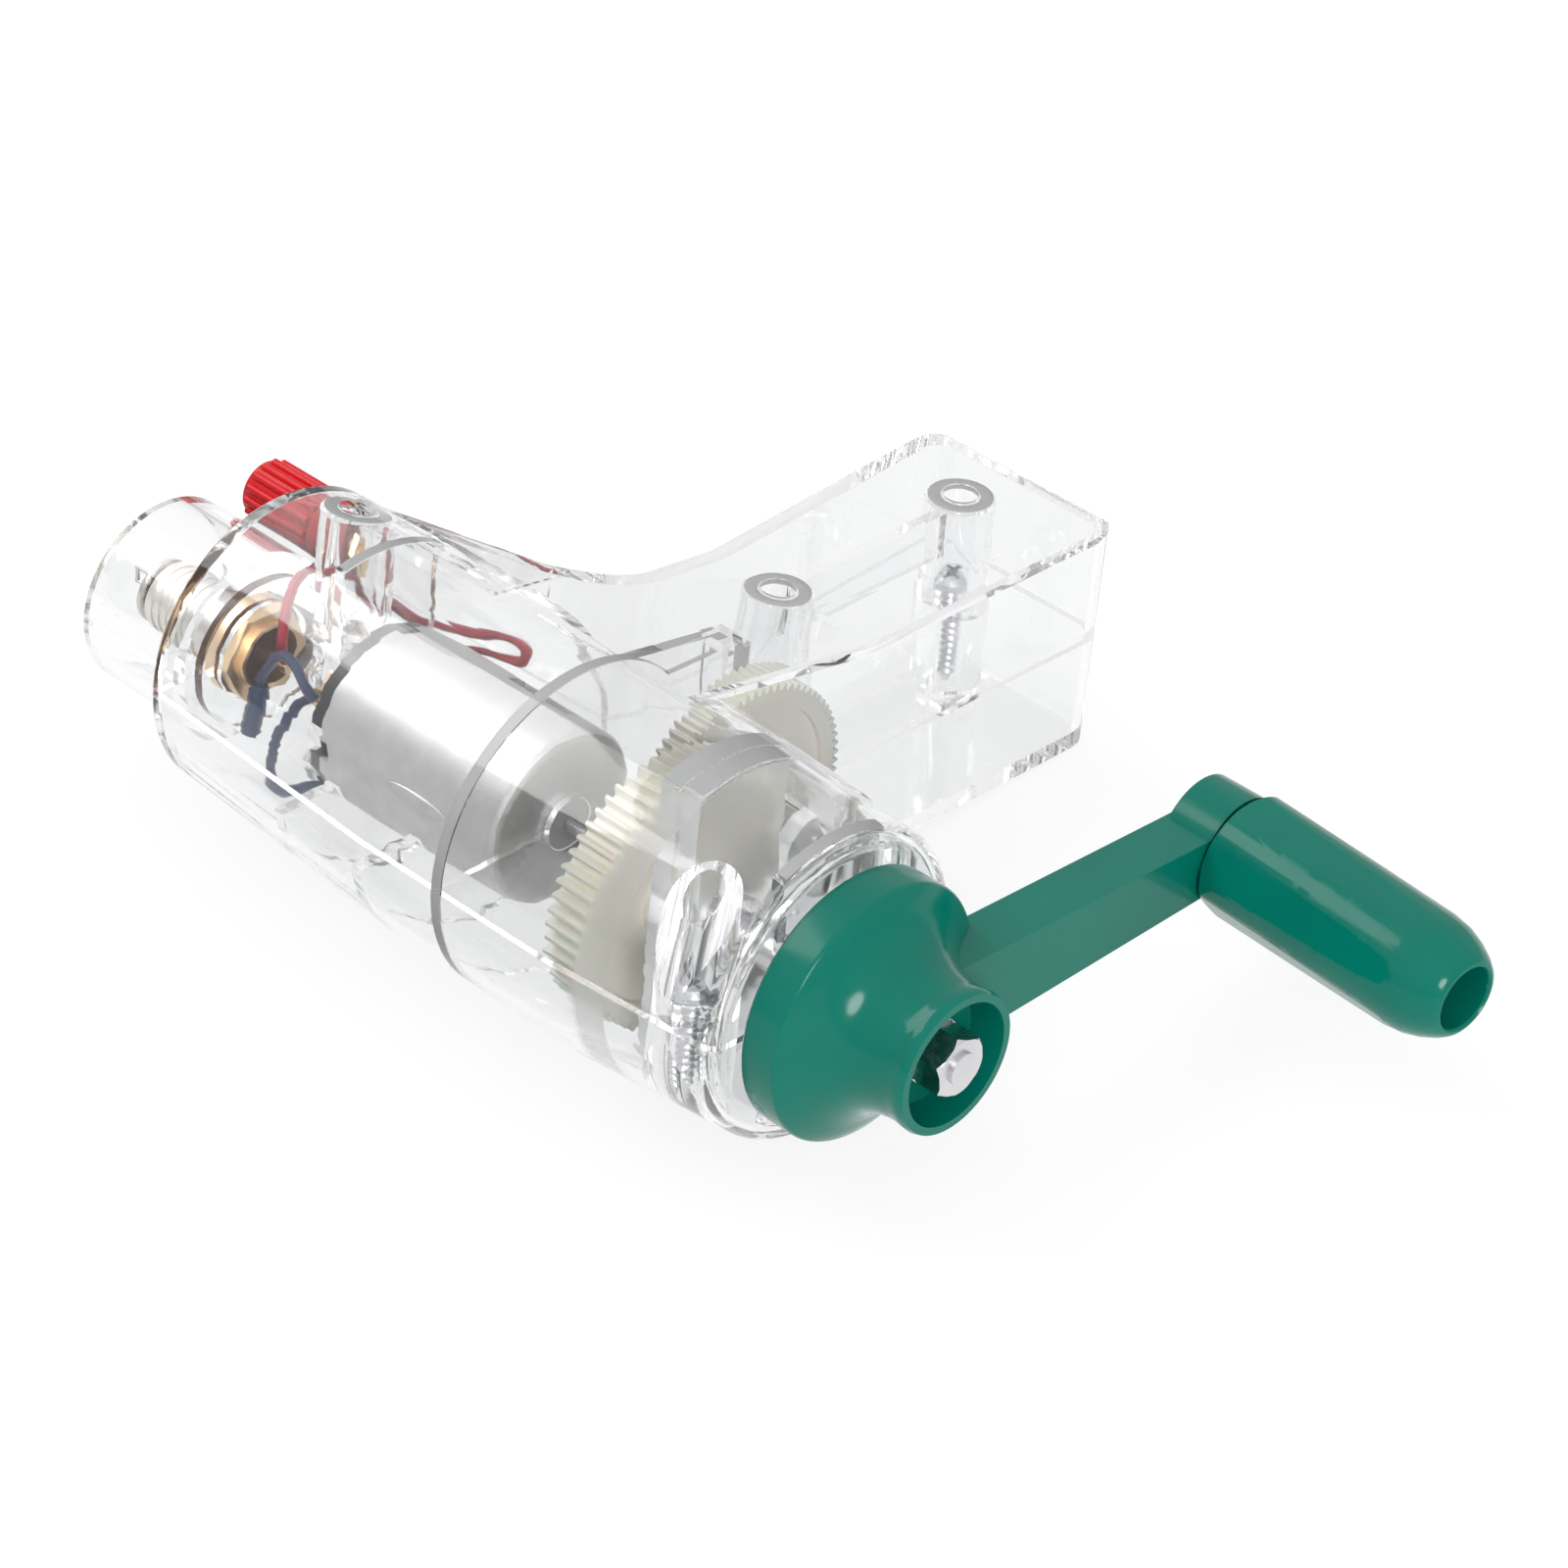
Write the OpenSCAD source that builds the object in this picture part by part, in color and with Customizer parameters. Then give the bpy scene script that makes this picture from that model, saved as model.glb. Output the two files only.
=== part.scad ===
// Hand-cranked generator with a clear pistol-grip housing, a lamp and two terminals.
// The crank axis is the X axis of the working frame, and the grip runs along +Y.
// The housing parts at z = 0. at_rest() lays the finished generator on its side.

/* [Housing] */
// wall thickness of the two clear half shells
wall = 2; // [1.6:0.1:2.4]
// outer diameter of the barrel
barrel_d = 53.2; // [52.8:0.2:56]
// front face of the barrel, measured from the inner grip screw
barrel_front = 58; // [57.8:0.1:58.8]
// where the front taper of the barrel starts
nose_start = 28; // [22:1:32]
// outer diameter of the barrel at its front edge
nose_d = 48.8; // [48.4:0.2:52]
// rear face of the barrel, behind the inner grip screw
barrel_rear = 58.9; // [58.5:0.1:60]
// where the rear taper of the barrel starts, behind the inner grip screw
taper_start = 9.5; // [6:0.5:12]
// taper of the rear part of the barrel, in degrees per side
barrel_taper = 2.4; // [2:0.1:2.6]
// rounding of the front edge of the barrel
nose_r = 3; // [2.5:0.1:4]
// rounding of the rear edge of the barrel
tail_r = 1.8; // [0.5:0.1:1.9]

/* [Grip] */
// thickness of the grip, across the parting plane
grip_h = 38; // [37:0.5:40]
// front face of the grip, ahead of the inner grip screw
grip_front = 20.2; // [20:0.1:21]
// rear face of the grip where it leaves the barrel, behind the inner grip screw
grip_back = 12.6; // [12:0.1:14]
// lean of the rear face of the grip, in degrees
grip_rake = 4.5; // [3:0.1:6]
// end of the grip, measured from the crank axis
grip_end = 101.6; // [98:0.2:110]
// radius of the upright corners at the end of the grip
grip_corner_r = 5.5; // [4:0.1:7]
// rounding of the flat faces toward the end of the grip
grip_edge_r = 1.6; // [1:0.1:1.8]
// radius of the hollow between the barrel and the grip
crotch_r = 12; // [11:0.5:13]
// distance from the crank axis at which the grip faces become flat
neck_end = 46.7; // [45:0.1:50]
// fall of the shoulder between the grip and the tail, in degrees
shoulder_fall = 8.5; // [7.5:0.1:9.5]

/* [Lamp] */
// outer diameter of the open tube around the lamp
guard_d = 30.3; // [29:0.1:31]
// end of the lamp tube, behind the inner grip screw
guard_end = 79.2; // [76:0.2:84]
// sideways place of the lamp axis
lamp_y = -3.4; // [-4:0.1:-3]
// diameter of the glass globe
globe_d = 14.2; // [12:0.1:15]
// diameter of the screw base of the lamp
base_d = 9.5; // [9.3:0.05:9.6]
// length of the screw base of the lamp
base_len = 9; // [8:0.1:9.6]

/* [Gears] */
// teeth of the gear on the crank shaft
crank_teeth = 58; // [58]
// teeth of the small gear of the idler
idler_small_teeth = 8; // [8]
// module of the first gear pair
first_module = 0.7; // [0.7]
// teeth of the large gear of the idler
idler_large_teeth = 76; // [76]
// teeth of the gear on the motor shaft
motor_teeth = 16; // [16]
// module of the second gear pair
second_module = 0.5; // [0.5]
// added to the centre distance so that the teeth run freely
mesh_play = 0.05; // [0.03:0.01:0.1]
// face width of the crank gear
crank_gear_w = 7.3; // [5:0.1:7.6]
// face width of the large idler gear
idler_gear_w = 4; // [3:0.1:4.2]

/* [Motor] */
// diameter of the motor can
motor_d = 27.7; // [27:0.1:28]
// length of the motor can
motor_len = 35.3; // [34:0.1:36]
// diameter of the motor shaft
motor_shaft_d = 2.3; // [2:0.1:2.4]

/* [Crank] */
// diameter of the crank shaft
shaft_d = 6; // [6:0.1:6.4]
// diameter of the threaded end of the crank shaft
stud_d = 5; // [4.8:0.1:5]
// distance from the crank axis to the handle axis
crank_radius = 70.5; // [64:0.5:78]
// diameter of the flange behind the crank
bell_d = 40; // [39.6:0.2:43]
// diameter of the front rim of the crank hub
hub_d = 22.2; // [21.6:0.1:22.6]
// thickness of the arm along the crank axis
arm_t = 8.5; // [7:0.1:8.7]
// half height of the arm at the hub
arm_root = 6.5; // [5:0.1:7]
// half height of the arm at the handle
arm_tip = 4.7; // [4:0.1:6]
// diameter of the handle at the arm
handle_d = 19.5; // [18.6:0.1:21]
// length of the handle
handle_len = 43.5; // [40:0.5:52]
// lean of the handle toward the crank axis, in degrees
handle_lean = 4.5; // [0:0.5:5]
// diameter of the open bore at the end of the handle
handle_bore = 9.8; // [9.4:0.1:11]
// diameter of the steel pin that the handle turns on
pin_d = 6; // [5:0.1:6.4]

/* [Terminals] */
// diameter of the terminal knobs
knob_d = 10.4; // [9.6:0.1:10.6]
// length of the terminal knobs
knob_len = 14.2; // [12:0.1:16]
// height of each terminal axis above and below the parting plane
post_z = 11.1; // [11:0.1:11.6]
// sideways place of the terminals
post_y = 16; // [15.9:0.1:16.4]
// bore of the terminals for a lead plug
socket_d = 4; // [4]

/* [Fasteners] */
// diameter of the housing screw heads
head_d = 5.2; // [4.8:0.1:5.3]
// outer diameter of the screw columns
column_d = 11; // [10.6:0.1:11.2]
// diameter of the insulated wires
wire_d = 1.6; // [1.4:0.1:1.6]

/* [Hidden] */
// Part to show, or "all".
$fn = 64;

run = 0.05;            // radial play of turning pieces
fit = 0.1;             // play of pieces that are only set in place
gap = 0.3;             // end play and free gaps
cut = 1;               // overshoot of cuts
barrel_r = barrel_d / 2;
half_h = grip_h / 2;

// Neck: flat roofs that leave the barrel almost as tangents and end at the grip faces.
roof_r = barrel_r - 0.3;             // distance of the roof planes from the crank axis
roof_dir = atan2(half_h, neck_end) + acos(roof_r / norm([neck_end, half_h]));
crotch_y = neck_end - 13.7;
shoulder_x = -grip_back - 4.4;
shoulder_y = 17.5;                   // sideways place of the shoulder at the tail
rake_x = sin(grip_rake);
rake_y = cos(grip_rake);

// Rear wall and lamp.
rear_x = -barrel_rear;
rear_in = rear_x + wall;
tail_lean = 1.4;                     // lean of the tail towards the grip
tail_y = (barrel_rear - taper_start) * tan(tail_lean);
tail_out_r = barrel_r - (barrel_rear - taper_start) * tan(barrel_taper) + 0.25;
guard_r = guard_d / 2;
collar_x = -(guard_end - 1.2);       // rim of the metal base, where the glass starts
globe_r = globe_d / 2;
base_r = base_d / 2;
collar_r = base_r + 0.5;
globe_x = collar_x - sqrt(globe_r * globe_r - (collar_r - 0.4) * (collar_r - 0.4));
base_end = collar_x + base_len;
sleeve_in = base_r + fit;
sleeve_out = sleeve_in + 0.6;
flange_t = 2;
socket_end = rear_in + 3.2;
stem_end = socket_end + 4.1;

// Terminals.
base_t = 4.6;
knob_back = rear_x - base_t - gap;
knob_tip = knob_back - knob_len;
stud_r = 3;
tail_pin_r = 1.75;
post_nut_af = 6;
post_nut_t = 2.2;
lug_t = 0.5;
lug_len = 7.4;

// Crank axis pieces.
bearing_x = 30;                      // rear face of the thick bearing block
bearing_t = 7;
front_rib_x = barrel_front - 4.6;
front_rib_t = 1.9;
crank_gear_x = bearing_x - gap - crank_gear_w;
shaft_r = shaft_d / 2;
bell_back = barrel_front + 0.9;
bell_r = bell_d / 2;
hub_r = hub_d / 2;
hub_front = barrel_front + 22.6;
hub_floor = hub_front - 5.2;
washer_t = 1;
crank_nut_t = 5;
crank_nut_af = 8.6;
arm_back = barrel_front + 5.4;
arm_front = arm_back + arm_t;
boss_r = 8.6;
handle_back = arm_front + gap + handle_d / 2 * sin(handle_lean);
pin_r = pin_d / 2;
pin_head_x = handle_back + 24;
pin_head_t = 2.5;

// Gears.
first_centres = first_module * (crank_teeth + idler_small_teeth) / 2;
second_centres = second_module * (idler_large_teeth + motor_teeth) / 2;
idler_y = max(first_centres, second_centres) + mesh_play;
web_x = 4.1;                         // rear face of the bulkhead that holds the motor
web_t = 2;
idler_axle_r = 1;
idler_gear_x = 13.2;
big_tip = idler_large_teeth * second_module / 2 + second_module;
pocket_r = 6.4;
pocket_end = 33;
pocket_floor = pocket_end - 2.8;
idler_end = pocket_floor - gap;
idler_hub_x = web_x + web_t + gap;
idler_hub_r = 2.4;

// Motor.
motor_r = motor_d / 2;
motor_front = web_x - gap;
motor_back = motor_front - motor_len;
endbell_t = 2.5;
nose_boss_r = 4;
motor_shaft_r = motor_shaft_d / 2;
pinion_back = 12.4;
pinion_front = 18;
tab_y = 9.5;
tab_turn = -20;                      // turn of the motor tabs about the motor axis

// Screw columns: [x, y]. Two in the grip, one at the tail and two behind the front wall.
column_r = column_d / 2;
head_r = head_d / 2;
head_top = 4;
head_t = 2;
head_seat = head_top - head_t;
screw_tip = -13;
shank_r = 1.45;
front_screw_x = 47.6;
front_screw_y = 17.3;
tail_screw = [-49.3, 8];
SCREWS = [[0, 46.7], [-1.8, 89], tail_screw,
    [front_screw_x, front_screw_y], [front_screw_x, -front_screw_y]];

// The generator rests on the barrel and on the lower edge at the end of the grip.
reach_y = grip_end - grip_edge_r;
reach_z = half_h - grip_edge_r;
reach = sqrt(reach_y * reach_y + reach_z * reach_z);
rest_tilt = atan2(reach_y, reach_z) - acos((barrel_r - grip_edge_r) / reach);

// The origin lies on the resting surface, in the middle of the length and of the width.
tip_r = handle_d / 2 - 4.3;          // radius of the end face of the handle
handle_tip = arm_front + (handle_back + handle_len - arm_front) * cos(handle_lean)
    + tip_r * sin(handle_lean);
far_edge = reach_y * cos(rest_tilt) + reach_z * sin(rest_tilt) + grip_edge_r;
middle_x = (handle_tip + globe_x - globe_r) / 2;
middle_y = (far_edge - barrel_r) / 2;

// Colours.
CLEAR = [0.88, 0.92, 0.93, 0.35];
STEEL = [0.72, 0.73, 0.75];
BRASS = [0.80, 0.62, 0.32];
NYLON = [0.93, 0.89, 0.77];
GREEN = [0.02, 0.42, 0.33];
RED = [0.85, 0.05, 0.05];
BLACK = [0.07, 0.07, 0.08];
BLUE = [0.24, 0.30, 0.40];

module at_rest() {
    translate([-middle_x, -middle_y, barrel_r]) rotate([-rest_tilt, 0, 0]) children();
}

// Turns a shape drawn in a plane so that its Z becomes X, its x Y and its y Z.
module along_x() {
    multmatrix([[0, 0, 1, 0], [1, 0, 0, 0], [0, 1, 0, 0], [0, 0, 0, 1]]) children();
}

// Rod or disc along X, from x0 to x1.
module rod(x0, x1, r, y = 0, z = 0) {
    translate([x0, y, z]) rotate([0, 90, 0]) cylinder(h = x1 - x0, r = r);
}

// Revolves a profile drawn as [x, radius] about the X axis.
module turned(points, fn = 64) {
    rotate([0, 90, 0]) rotate([0, 0, 180])
        rotate_extrude($fn = fn) polygon([for (p = points) [p[1], p[0]]]);
}

// Hexagon along X.
module hexagon(x0, x1, af, turn = 0) {
    translate([x0, 0, 0]) rotate([0, 90, 0]) rotate([0, 0, turn])
        cylinder(h = x1 - x0, r = af / 2 / cos(30), $fn = 6);
}

module at_post(side) {
    translate([0, post_y, side * post_z]) children();
}

// ---- Housing shape, drawn with an inset o from the outer surface ----

module barrel_form(o) {
    r = barrel_r - o;
    rn = nose_d / 2 - o;
    e = nose_r - o;
    front = barrel_front - o;
    back = rear_x + o;
    puck_r = tail_out_r - o;
    edge = max(tail_r - o, 0.3);
    ahead = barrel_front + 10;
    len = barrel_rear - taper_start + 6 + ahead;
    start_r = r / cos(barrel_taper) + ahead * tan(barrel_taper);
    intersection() {
        rotate([0, 90, 0]) rotate_extrude($fn = 96) union() {
            polygon([[0, back - 4], [r, back - 4], [r, nose_start], [rn, front - e], [rn - e, front],
                [0, front]]);
            translate([rn - e, front - e]) circle(r = e, $fn = 48);
        }
        translate([-taper_start, 0, 0]) rotate([0, 0, -tail_lean]) rotate([0, -90, 0])
            translate([0, 0, -ahead])
                cylinder(h = len, r1 = start_r, r2 = start_r - len * tan(barrel_taper), $fn = 96);
        translate([0, tail_y, 0]) rotate([0, 90, 0]) rotate_extrude($fn = 96) union() {
            polygon([[0, back], [puck_r - edge, back], [puck_r, back + edge], [puck_r + 12, back + 62],
                [puck_r + 12, front + 5], [0, front + 5]]);
            translate([puck_r - edge, back + edge]) circle(r = edge, $fn = 32);
        }
    }
}

// Neck and grip seen from above.
module grip_plan(o) {
    r = grip_corner_r - o;
    corner_y = grip_end - grip_corner_r;
    corner_x = -grip_back - (corner_y - crotch_y) * tan(grip_rake) + grip_corner_r / rake_y;
    front_corner = [grip_front - grip_corner_r, corner_y];
    back_corner = [corner_x, corner_y];
    hollow = [-grip_back - crotch_r * rake_y, crotch_y - crotch_r * rake_x];
    foot_y = crotch_y + o * rake_x;
    difference() {
        union() {
            polygon([
                [rear_x + 2, 2],
                [grip_front - o, 2],
                [grip_front - o, corner_y],
                [front_corner[0], grip_end - o],
                [corner_x, grip_end - o],
                back_corner - r * [rake_y, rake_x],
                [-grip_back + o * rake_y, foot_y],
                [hollow[0], foot_y],
                [hollow[0], hollow[1] - crotch_r - o],
                [rear_x + 2, shoulder_y - o]
            ]);
            translate(front_corner) circle(r = r, $fn = 48);
            translate(back_corner) circle(r = r, $fn = 48);
        }
        translate(hollow) circle(r = crotch_r + o, $fn = 96);
    }
}

// Neck and grip seen from the front, as [y, z].
module grip_side(o) {
    h = half_h - o;
    e = max(grip_edge_r - o, 0.3);
    end_y = grip_end - o;
    start = (roof_r - o) * [cos(roof_dir), sin(roof_dir)];
    knee_y = (roof_r - o - h * sin(roof_dir)) / cos(roof_dir);
    union() {
        polygon([[start[0], -start[1]], [knee_y, -h], [end_y - e, -h], [end_y, e - h],
            [end_y, h - e], [end_y - e, h], [knee_y, h], start]);
        for (s = [-1, 1]) translate([end_y - e, s * (h - e)]) circle(r = e, $fn = 32);
    }
}

// The same outline on side s only, open to the other side.
module open_side(o, s) {
    grip_side(o);
    translate([0, s > 0 ? -60 : 0]) square([grip_end - o, 60]);
}

// Neck and grip swept along X. The shoulder behind the grip falls toward the tail.
module grip_sweep(o) {
    intersection() {
        translate([shoulder_x - 50, 0, 0]) along_x() linear_extrude(grip_front - shoulder_x + 55)
            grip_side(o);
        falling_side(o, 1);
        falling_side(o, -1);
    }
}

module falling_side(o, s) {
    translate([shoulder_x, 0, s * half_h]) rotate([0, -s * shoulder_fall, 0])
        translate([-60, 0, -s * half_h]) along_x() linear_extrude(115) open_side(o, s);
}

module grip_form(o) {
    intersection() {
        translate([0, 0, -barrel_r - cut]) linear_extrude(2 * barrel_r + 2 * cut) grip_plan(o);
        grip_sweep(o);
    }
}

module housing_form(o) {
    barrel_form(o);
    grip_form(o);
    rod(grip_front - 8, pocket_end - o, pocket_r - o, idler_y, 0);
}

// Ribs, walls and columns inside the housing, before they are trimmed to it.
module inner_works() {
    // bulkhead in front of the motor, with a stiff post at its free edge
    translate([web_x, -40, -30]) cube([web_t, 40 + 30.5, 60]);
    translate([web_x - 0.4, 26, -30]) cube([6, 4.6, 60]);
    // bearing block of the crank shaft, with a step on its front
    translate([bearing_x, -8, -30]) cube([bearing_t / 2, 19.6, 60]);
    translate([bearing_x, -7.4, -30]) cube([bearing_t, 17.6, 60]);
    // rib behind the front wall
    translate([front_rib_x, -10, -30]) cube([front_rib_t, 19, 60]);
    rod(front_rib_x - 1.6, barrel_front, shaft_r + 3);
    // stop rib behind the motor and saddle ribs under it
    translate([motor_back - endbell_t - 5, -5.4, 5.4]) cube([2, 18.8, 25]);
    for (x = [motor_back + 1, -13]) translate([x, -40, -30]) cube([2, 80, 24]);
    // ring around the back of the lamp socket
    rod(rear_in - cut, rear_in + 1.6, 12, lamp_y);
    // columns for the screws and the webs between the grip columns
    for (p = SCREWS) translate([p[0], p[1], -30]) cylinder(h = 60, r = column_r);
    for (s = [-1, 1]) translate([-1.9, 46.7, s > 0 ? 9 : -30]) cube([2, 42.3, 21]);
    // floor of the pocket at the front end of the idler axle
    rod(pocket_floor, pocket_end, pocket_r, idler_y, 0);
}

module works_cuts() {
    // crank shaft bearings and the hole in the front wall
    rod(bearing_x - cut, bearing_x + bearing_t + cut, shaft_r + run + 0.01);
    rod(front_rib_x - 3, barrel_front + cut, shaft_r + run + 0.01);
    // motor
    rod(motor_back - 1, motor_front + gap, motor_r + fit);
    rod(web_x - cut, web_x + web_t + cut, nose_boss_r + fit);
    // idler axle
    rod(web_x - 1.2, pocket_end - 1.2, idler_axle_r, idler_y);
    // room for the gears
    rod(crank_gear_x - 1, bearing_x, barrel_r - wall - 1);
    rod(idler_gear_x - 0.8, grip_front - wall, big_tip + 0.5, idler_y, 0);
    // lamp socket
    rod(rear_x - cut, rear_in + 8, sleeve_out + fit, lamp_y);
    rod(rear_in, rear_in + 8, 8.2, lamp_y);
    // terminal studs
    for (s = [-1, 1]) at_post(s) rod(rear_x - cut, rear_in + cut, tail_pin_r + fit);
}

module half_shell(side) {
    intersection() {
        difference() {
            union() {
                difference() {
                    union() {
                        housing_form(0);
                        rod(-guard_end, rear_x + cut, guard_r, lamp_y);
                    }
                    housing_form(wall);
                    rod(-guard_end - cut, rear_x, guard_r - wall, lamp_y);
                }
                intersection() {
                    inner_works();
                    housing_form(wall / 2);
                }
            }
            works_cuts();
            for (p = SCREWS) translate([p[0], p[1], 0]) screw_cuts();
        }
        translate([-100, -60, side > 0 ? 0 : -60]) cube([200, 200, 60]);
    }
}

module screw_cuts() {
    translate([0, 0, head_seat]) cylinder(h = 40, r = head_r + 0.2, $fn = 32);
    translate([0, 0, -cut]) cylinder(h = head_seat + 2 * cut, r = shank_r + 0.2, $fn = 32);
    translate([0, 0, screw_tip - 1.5]) cylinder(h = -screw_tip + 1.5 + cut, r = shank_r + 0.05, $fn = 32);
}

module housing_upper() {
    color(CLEAR) half_shell(1);
}

module housing_lower() {
    color(CLEAR) half_shell(-1);
}

// Pan-head screw with a cross recess, standing on its seat at z = head_seat.
module housing_screw() {
    pitch = 1.2;
    turns = floor((head_seat - screw_tip - 1.5) / pitch);
    difference() {
        rotate_extrude($fn = 24) polygon(concat(
            [[0, screw_tip], [0.5, screw_tip], [1.15, screw_tip + 1.3]],
            [for (i = [0:turns - 1]) each [
                [shank_r, screw_tip + 1.3 + (i + 0.5) * pitch],
                [1.15, screw_tip + 1.3 + (i + 1) * pitch]]],
            [[1.15, head_seat], [head_r, head_seat], [head_r, head_seat + 1.1],
             [head_r - 0.7, head_top], [0, head_top]]));
        for (a = [0, 90]) rotate([0, 0, a]) translate([-1.5, -0.35, head_top - 1.2]) cube([3, 0.7, 2]);
    }
}

module housing_screws() {
    color(STEEL) for (p = SCREWS) translate([p[0], p[1], 0]) housing_screw();
}

// ---- Gear teeth ----

function involute(a) = (tan(a) - a * PI / 180) * 180 / PI;

// Half angle of a tooth at radius r, in degrees.
function half_tooth(n, m, shift, play, r) =
    let (rp = n * m / 2, rb = rp * cos(20), at = acos(min(rb / max(r, rb), 1)))
    90 / n + (2 * shift * tan(20) / n) * 180 / PI - play / (2 * rp) * 180 / PI
        + involute(20) - involute(at);

// Outline of a gear whose first tooth points along +x.
function gear_outline(n, m, shift, tip, root, play) =
    let (rp = n * m / 2, rb = rp * cos(20), low = max(root, rb),
        steps = [low, low + (tip - low) * 0.35, low + (tip - low) * 0.7, tip])
    [for (i = [0:n - 1]) let (c = 360 / n * i) each concat(
        [let (a = c - half_tooth(n, m, shift, play, low) - 12 / n) [root * cos(a), root * sin(a)]],
        [for (r = steps) let (a = c - half_tooth(n, m, shift, play, r)) [r * cos(a), r * sin(a)]],
        [for (k = [3:-1:0]) let (r = steps[k], a = c + half_tooth(n, m, shift, play, r))
            [r * cos(a), r * sin(a)]],
        [let (a = c + half_tooth(n, m, shift, play, low) + 12 / n) [root * cos(a), root * sin(a)]])];

module toothed(x0, w, n, m, shift, tip, root, turn = 0) {
    translate([x0, 0, 0]) along_x() linear_extrude(w) rotate(turn)
        polygon(gear_outline(n, m, shift, tip, root, 0.05));
}

// ---- Crank shaft group ----

module crank_shaft() {
    color(STEEL) difference() {
        union() {
            rod(crank_gear_x - 1, barrel_front + 3, shaft_r);
            rod(barrel_front + 2, hub_floor + washer_t + crank_nut_t + 0.6, stud_d / 2);
        }
        // flats that carry the crank
        for (s = [-1, 1]) translate([barrel_front + 3, -5, s > 0 ? stud_d / 2 - 0.5 : -stud_d / 2 - 4.5])
            cube([9, 10, 5]);
    }
}

module shaft_collar() {
    x0 = bearing_x + bearing_t + gap;
    color(STEEL) difference() {
        rod(x0, x0 + 3.2, 5);
        rod(x0 - cut, x0 + 4.2, shaft_r);
        translate([x0 + 1.6, 0, 3.6]) cylinder(h = 3, r = 0.9, $fn = 24);
    }
}

module crank_gear() {
    r = crank_teeth * first_module / 2;
    color(NYLON) difference() {
        toothed(crank_gear_x, crank_gear_w, crank_teeth, first_module, -0.5,
            r + 0.5 * first_module, r - 1.7 * first_module, 180 / crank_teeth);
        rod(crank_gear_x - cut, crank_gear_x + crank_gear_w + cut, shaft_r);
        for (x = [crank_gear_x - cut, crank_gear_x + crank_gear_w - 1.6])
            gear_recess(x, 1.6 + cut, 7, r - 3.6);
    }
}

module gear_recess(x0, t, r0, r1) {
    difference() {
        rod(x0, x0 + t, r1);
        rod(x0 - cut, x0 + t + cut, r0);
    }
}

// Leans the handle pieces about the front end of the arm.
module leaned() {
    translate([arm_front, crank_radius, 0]) rotate([0, 0, -handle_lean])
        translate([-arm_front, -crank_radius, 0]) children();
}

// Trumpet-shaped hub with its flange, the arm and the boss for the handle.
module crank() {
    rim = bell_back + 5.9;
    waist_r = hub_r - 0.3;
    color(GREEN) difference() {
        union() {
            turned([
                [barrel_front + 0.4, 0], [barrel_front + 0.4, 6.4], [bell_back + 3, 6.4],
                [bell_back + 3, bell_r - 2], [bell_back, bell_r - 2], [bell_back, bell_r - 0.5],
                [bell_back + 0.5, bell_r], [rim, bell_r], [rim + 0.5, bell_r - 0.3],
                [rim + 1.4, bell_r - 1.7], [rim + 2.5, bell_r - 3.8], [rim + 3.8, waist_r + 3.6],
                [rim + 5.3, waist_r + 2.1], [rim + 7, waist_r + 1.1], [rim + 9, waist_r + 0.4],
                [rim + 11, waist_r + 0.1], [rim + 12.8, waist_r], [hub_front - 2.2, hub_r - 0.1],
                [hub_front - 0.8, hub_r], [hub_front, hub_r - 0.3], [hub_front, 0]
            ], 96);
            translate([arm_back, 0, 0]) along_x() linear_extrude(arm_t)
                polygon([[8, arm_root + 0.3], [crank_radius, arm_tip],
                    [crank_radius, -arm_tip], [8, -arm_root - 0.3]]);
            rod(arm_back + 0.5, arm_front, boss_r, crank_radius);
        }
        // recess for the nut
        turned([[hub_floor, 0], [hub_floor, hub_r - 2.5], [hub_front + 0.2, hub_r - 1.5],
            [hub_front + 0.2, 0]], 96);
        // bore with flats for the shaft
        difference() {
            rod(barrel_front, hub_front, stud_d / 2);
            for (s = [-1, 1])
                translate([barrel_front + 3, -5, s > 0 ? stud_d / 2 - 0.5 : -stud_d / 2 - 4.5])
                    cube([8.99, 10, 5]);
        }
        rod(barrel_front, barrel_front + 3, shaft_r);
        // bore for the handle pin
        leaned() rod(arm_back - cut, arm_front + cut, pin_r, crank_radius);
    }
}

module crank_washer() {
    color(STEEL) difference() {
        rod(hub_floor, hub_floor + washer_t, 5);
        rod(hub_floor - cut, hub_floor + washer_t + cut, stud_d / 2 + fit);
    }
}

module crank_nut() {
    x0 = hub_floor + washer_t;
    color(STEEL) difference() {
        intersection() {
            hexagon(x0, x0 + crank_nut_t, crank_nut_af, 10);
            turned([[x0, 0], [x0, 4.5], [x0 + 0.5, 4.9], [x0 + crank_nut_t - 0.5, 4.9],
                [x0 + crank_nut_t, 4.4], [x0 + crank_nut_t, 0]]);
        }
        rod(x0 - cut, x0 + crank_nut_t + cut, stud_d / 2);
    }
}

module handle_pin() {
    color(STEEL) leaned() union() {
        rod(arm_back + 0.5, pin_head_x, pin_r, crank_radius);
        rod(pin_head_x - 0.5, pin_head_x + 4, pin_r - 1, crank_radius);
    }
}

module handle_retainer() {
    color(STEEL) leaned() difference() {
        rod(pin_head_x + gap, pin_head_x + gap + pin_head_t, handle_bore / 2 - 0.5, crank_radius);
        rod(pin_head_x, pin_head_x + 5, pin_r - 1, crank_radius);
    }
}

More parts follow.
